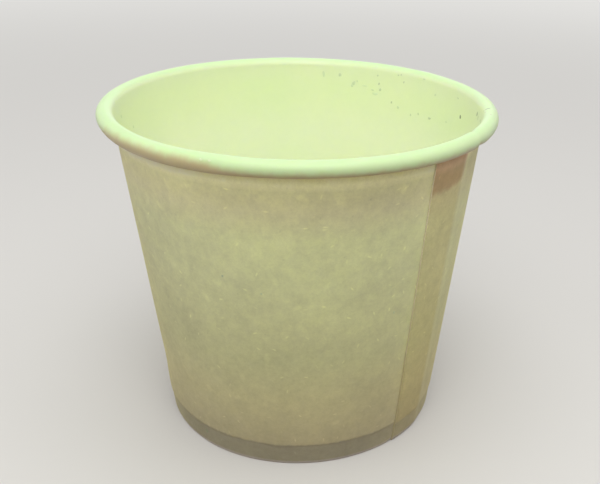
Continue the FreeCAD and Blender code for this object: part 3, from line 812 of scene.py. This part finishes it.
def specks_and_glints():
    """Dried drops of food and dark fibre in the paper: dull olive brown, by how dark each mark
    is, and a little uneven. With no darkness it is pale, for the two painted glints on the bead."""
    material, tree = blank_material("specks_and_glints")
    mark = add(tree, "Attribute", attribute_name="mark")
    parts = add(tree, "SeparateXYZ", {0: mark.outputs["Vector"]})
    spot = add(tree, "TexCoord")
    grain = add(tree, "TexNoise", {"Vector": spot.outputs["Object"], "Scale": 1 / RESIDUE_GRAIN,
                                   "Detail": 2.0})
    uneven = add(tree, "Math", {0: grain.outputs["Fac"], 1: 0.3, 2: parts.outputs["X"]},
                 operation="MULTIPLY_ADD")
    dark = add(tree, "MapRange", {0: uneven.outputs[0], 1: 0.15, 2: 1.7})
    tone = add(tree, "Mix", {0: dark.outputs[0], 6: colour(RESIDUE_AND_GLINT_PALE),
                             7: colour(RESIDUE_DARK)}, data_type="RGBA")
    shader = add(tree, "BsdfPrincipled", {"Base Color": tone.outputs[2], "Roughness": 0.6,
                                          "IOR": RESIDUE_IOR})
    add(tree, "OutputMaterial", {"Surface": shader.outputs[0]})
    return material


# ---------------------------------------------------------------------------
# Stage, in metres

FLOOR, SURROUND, TABLE = "#DEDCD8", "#E4E3E0", "#8A7872"
FLOOR_NEAR, FLOOR_FAR, FLOOR_REACH = 0.12, 0.7, 6.0
SURROUND_LAMP = 0.43

LAMP_SIZE, LAMP_AIM = 0.6, (0, 0, 0.04)
# name, place and watts
LAMPS = [
    ("front_lamp", (0, -0.45, 0.55), 1.95),
    ("top_lamp", (0, 0, 0.7), 1.3),
    ("left_lamp", (-0.55, -0.2, 0.25), 0.65),
    ("right_lamp", (0.5, -0.1, 0.45), 0.45),
    ("back_lamp", (0.05, 1.0, 0.3), 0.75),
]

# The photo's camera: its width, focal length and axis in pixels, its angles in radians
PHOTO_WIDTH = 600
FOCUS = 837.778
AXIS_X = 399.304
CAMERA_PLACE = (0.0, -0.157926, 0.106692)
YAW, PITCH, ROLL = 0.1253, 0.4259, -0.0461
SENSOR_MM, CLIP_START = 36.0, 0.005


def sight_rays(tree):
    """1 for what is seen directly, in a reflection or through glass, and 0 for other light."""
    path = add(tree, "LightPath")
    seen = add(tree, "Math", {0: path.outputs["Is Camera Ray"], 1: path.outputs["Is Glossy Ray"]},
               operation="MAXIMUM")
    return add(tree, "Math", {0: seen.outputs[0], 1: path.outputs["Is Transmission Ray"]},
               operation="MAXIMUM").outputs[0]


def make_floor():
    """A wide flat floor, pale to the camera, that runs into the surround's colour away from the
    cup. What the cup gets back from it is that of a warm, darker table top."""
    material, tree = blank_material("pale_floor")
    spot = add(tree, "TexCoord")
    out = add(tree, "VectorMath", {0: spot.outputs["Object"]}, operation="LENGTH")
    far = add(tree, "MapRange", {0: out.outputs["Value"], 1: FLOOR_NEAR, 2: FLOOR_FAR},
              interpolation_type="SMOOTHSTEP")
    pale = add(tree, "BsdfDiffuse", {"Color": colour(FLOOR)})
    sight = add(tree, "Emission", {"Color": colour(SURROUND), "Strength": 1.0})
    seen = add(tree, "MixShader", {0: far.outputs[0], 1: pale.outputs[0], 2: sight.outputs[0]})
    dim = add(tree, "BsdfDiffuse", {"Color": colour(TABLE)})
    mixed = add(tree, "MixShader", {0: sight_rays(tree), 1: dim.outputs[0], 2: seen.outputs[0]})
    add(tree, "OutputMaterial", {"Surface": mixed.outputs[0]})
    mesh = bpy.data.meshes.new("floor")
    mesh.from_pydata([(x * FLOOR_REACH, y * FLOOR_REACH, 0)
                      for x, y in ((-1, -1), (1, -1), (1, 1), (-1, 1))], [], [(0, 1, 2, 3)])
    mesh.materials.append(material)
    floor = bpy.data.objects.new("floor", mesh)
    bpy.context.scene.collection.objects.link(floor)


def make_world():
    """An even pale surround, dimmer as a lamp than as it is seen."""
    world = bpy.data.worlds.new("studio")
    world.use_nodes = True
    tree = world.node_tree
    tree.nodes.clear()
    lamp = add(tree, "Background", {"Color": (1.0, 1.0, 1.0, 1.0), "Strength": SURROUND_LAMP})
    sight = add(tree, "Background", {"Color": colour(SURROUND), "Strength": 1.0})
    mixed = add(tree, "MixShader", {0: sight_rays(tree), 1: lamp.outputs[0],
                                    2: sight.outputs[0]})
    add(tree, "OutputWorld", {"Surface": mixed.outputs[0]})
    bpy.context.scene.world = world


def make_lamp(name, place, power):
    """A round soft lamp that is aimed at the cup."""
    lamp = bpy.data.lights.new(name, "AREA")
    lamp.shape = "DISK"
    lamp.size = LAMP_SIZE
    lamp.energy = power
    holder = bpy.data.objects.new(name, lamp)
    holder.location = place
    ahead = Vector(LAMP_AIM) - Vector(place)
    holder.rotation_euler = ahead.to_track_quat("-Z", "Y").to_euler()
    bpy.context.scene.collection.objects.link(holder)


def make_camera():
    """The camera that took the photograph: its pose was fitted to the cup's outline."""
    ahead = Vector((np.sin(YAW) * np.cos(PITCH), np.cos(YAW) * np.cos(PITCH), -np.sin(PITCH)))
    right = Vector((np.cos(YAW), -np.sin(YAW), 0.0))
    down = ahead.cross(right)
    tilted_right = right * np.cos(ROLL) + down * np.sin(ROLL)
    tilted_down = down * np.cos(ROLL) - right * np.sin(ROLL)
    lens = bpy.data.cameras.new("camera")
    lens.sensor_fit = "HORIZONTAL"
    lens.sensor_width = SENSOR_MM
    lens.lens = SENSOR_MM * FOCUS / PHOTO_WIDTH
    lens.shift_x = (PHOTO_WIDTH / 2 - AXIS_X) / PHOTO_WIDTH
    lens.clip_start = CLIP_START
    camera = bpy.data.objects.new("camera", lens)
    turned = Matrix((tilted_right, -tilted_down, -ahead)).transposed().to_4x4()
    camera.matrix_world = Matrix.Translation(CAMERA_PLACE) @ turned
    bpy.context.scene.collection.objects.link(camera)
    bpy.context.scene.camera = camera


# ---------------------------------------------------------------------------
# Putting it together

make_camera()
make_floor()
make_world()
for name, place, power in LAMPS:
    make_lamp(name, place, power)
bpy.context.scene.view_settings.view_transform = "Standard"

bare, coated, cut = bare_cup_stock(), coated_cup_stock(), cut_paper()
# One finish for the dried specks, the dark fibre and the two painted glints on the bead
residue = specks_and_glints()

sidewall = make_sidewall([bare, coated, cut])
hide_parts("sidewall")
disc = make_disc([coated_base_stock()])
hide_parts("bottom_disc")
specks = make_marks("residue_specks", RESIDUE, CUP_SIDE, [residue])
shives = make_marks("paper_shives", SHIVES, OUTSIDE, [residue])
# The rim's glints are painted: two small bumps coloured pale
glints = make_marks("rim_glints", RIM_GLINTS, CUP_SIDE, [residue])
for piece, slot in ((sidewall, "sidewall"), (disc, "bottom_disc"), (specks, "sidewall"),
                    (shives, "sidewall"), (glints, "sidewall")):
    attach(piece, "root")
